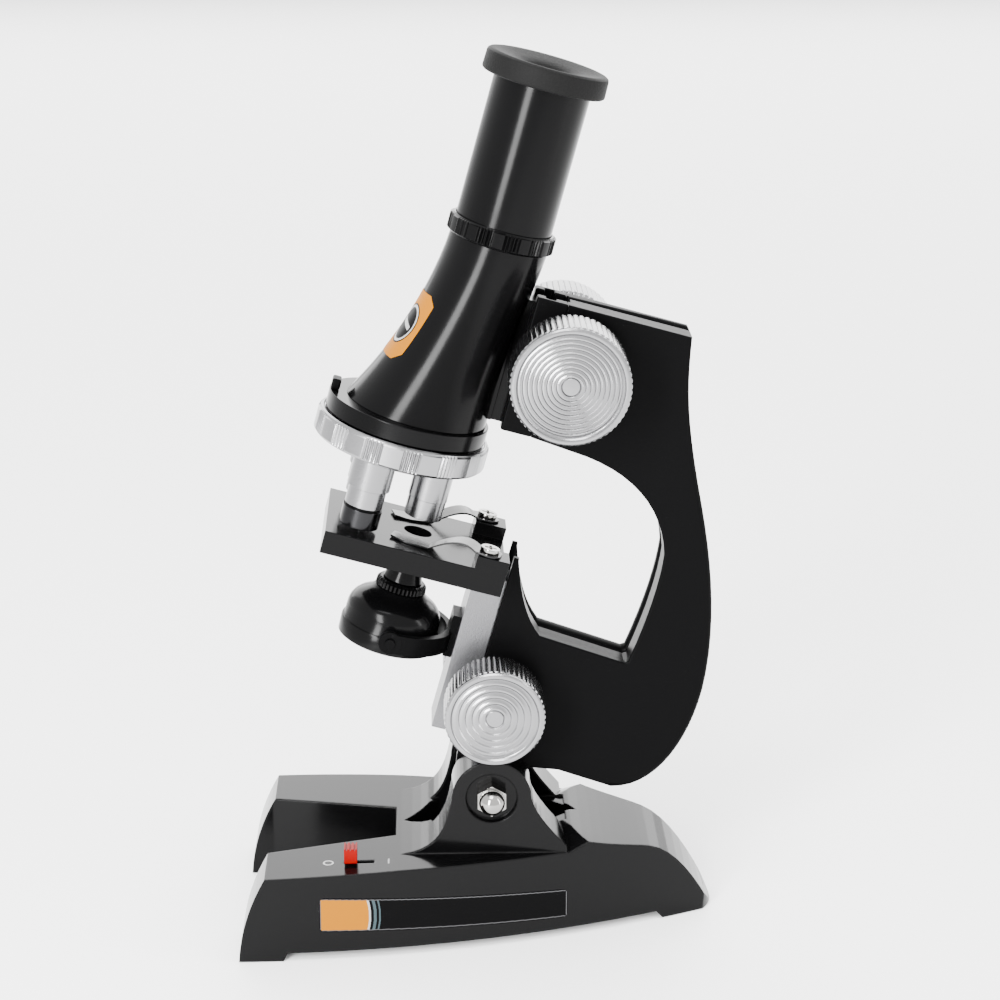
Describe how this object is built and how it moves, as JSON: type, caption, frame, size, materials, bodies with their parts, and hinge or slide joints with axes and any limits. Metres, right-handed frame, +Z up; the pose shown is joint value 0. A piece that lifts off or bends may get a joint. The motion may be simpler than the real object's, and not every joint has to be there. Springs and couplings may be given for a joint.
{
  "type": "toy microscope",
  "caption": "Tilting student microscope on a forked base, with rack focus, revolving nosepiece, geared stage, spring clips and a flip-over lamp.",
  "frame": {"origin": "centre of the base's footprint on the table", "axes": "+Z up, -Y towards the forked front of the base, +X towards the side with the switch; the arm is stored leaning back 15.4 degrees"},
  "size_m": [0.066, 0.12, 0.22],
  "materials": {
    "black_gloss": "gloss",
    "black_side": "satin",
    "black_cup": "fine grain",
    "silver_plastic": "satin silver lacquer",
    "objective_silver": "brushed",
    "steel": "polished",
    "dark_steel": "blackened",
    "white_plastic": "satin",
    "red_plastic": "gloss",
    "label": "printed film",
    "cell": "gloss",
    "contact": "polished",
    "glass": "clear",
    "mirror": "polished"
  },
  "bodies": {
    "base": {"base_shell": "black_gloss", "bottom_plate": "black_side", "battery_door": "black_side", "battery_1": "cell", "battery_2": "cell", "battery_contacts": "contact", "base_screws": "steel", "switch_housing": "black_side", "pivot_bolt": "steel", "pivot_nut": "steel", "pivot_washers": "steel", "side_label": "label"},
    "switch": {"switch_slider": "red_plastic"},
    "arm": {"arm_shell_right": "black_side", "arm_shell_left": "black_side", "arm_screws": "steel", "tube_guide": "black_side"},
    "focus_knobs": {"focus_shaft": "steel", "focus_pinion": "white_plastic", "focus_knob_right": "silver_plastic", "focus_knob_left": "silver_plastic"},
    "tube": {"body_tube": "black_gloss", "tube_rack": "black_gloss", "nosepiece_cover": "black_gloss", "click_housing": "black_side", "nosepiece_screw": "steel", "tube_label": "label"},
    "ring": {"knurled_ring": "black_side"},
    "eyepiece": {"eyepiece_tube": "black_gloss", "eyecup": "black_cup", "eye_lens": "glass", "field_lens": "glass", "lens_retainer": "black_side"},
    "nosepiece": {"nosepiece_disc": "silver_plastic", "objective_long": "objective_silver", "objective_medium": "objective_silver", "objective_short": "objective_silver", "objective_lenses": "glass"},
    "stage_knobs": {"stage_shaft": "steel", "stage_pinion": "white_plastic", "stage_knob_right": "silver_plastic", "stage_knob_left": "silver_plastic"},
    "stage": {"stage_plate": "black_gloss", "stage_slide": "silver_plastic", "clip_screws": "steel", "lamp_fork": "black_side"},
    "clip_right": {"stage_clip_right": "dark_steel"},
    "clip_left": {"stage_clip_left": "dark_steel"},
    "lamp": {"lamp_housing": "black_gloss", "lamp_pins": "black_side", "lamp_collar": "black_gloss", "lamp_nozzle": "black_gloss", "led": "white_plastic", "lamp_mirror": "mirror"}
  },
  "joints": [
    {"name": "switch_slide", "type": "slide", "parent": "base", "child": "switch", "axis": [0, 1, 0], "range_m": [0, 0.004]},
    {"name": "arm_tilt", "type": "hinge", "parent": "base", "child": "arm", "pos_m": [0, 0.0028, 0.037], "axis": [1, 0, 0], "range_deg": [-20, 15.4]},
    {"name": "focus_turn", "type": "hinge", "parent": "arm", "child": "focus_knobs", "pos_m": [0, 0.02127, 0.14414], "axis": [1, 0, 0], "range_deg": [-172, 0]},
    {"name": "tube_slide", "type": "slide", "parent": "arm", "child": "tube", "axis": [0, 0.2656, 0.9641], "range_m": [0, 0.012]},
    {"name": "ring_turn", "type": "hinge", "parent": "tube", "child": "ring", "pos_m": [0, 0.0056, 0.17522], "axis": [0, 0.2656, 0.9641], "continuous": true},
    {"name": "eyepiece_turn", "type": "hinge", "parent": "tube", "child": "eyepiece", "pos_m": [0, 0.00985, 0.19064], "axis": [0, 0.2656, 0.9641], "continuous": true},
    {"name": "nosepiece_turn", "type": "hinge", "parent": "tube", "child": "nosepiece", "pos_m": [0, -0.01883, 0.1249], "axis": [0, 0.2656, 0.9641], "continuous": true},
    {"name": "stage_knob_turn", "type": "hinge", "parent": "arm", "child": "stage_knobs", "pos_m": [0, 0.00351, 0.05973], "axis": [1, 0, 0], "range_deg": [0, 172]},
    {"name": "stage_lift", "type": "slide", "parent": "arm", "child": "stage", "axis": [0, 0.2656, 0.9641], "range_m": [-0.012, 0]},
    {"name": "clip_right_swing", "type": "hinge", "parent": "stage", "child": "clip_right", "pos_m": [0.014, 0.00234, 0.09936], "axis": [0, 0.2656, 0.9641], "range_deg": [-8, 60]},
    {"name": "clip_left_swing", "type": "hinge", "parent": "stage", "child": "clip_left", "pos_m": [-0.014, 0.00234, 0.09936], "axis": [0, 0.2656, 0.9641], "range_deg": [-60, 8]},
    {"name": "lamp_flip", "type": "hinge", "parent": "stage", "child": "lamp", "pos_m": [0, -0.02199, 0.07692], "axis": [1, 0, 0], "range_deg": [0, 180]}
  ],
  "couplings": [
    {"joint": "focus_turn", "follows": "tube_slide", "rad_per_m": -250},
    {"joint": "stage_knob_turn", "follows": "stage_lift", "rad_per_m": -250}
  ]
}
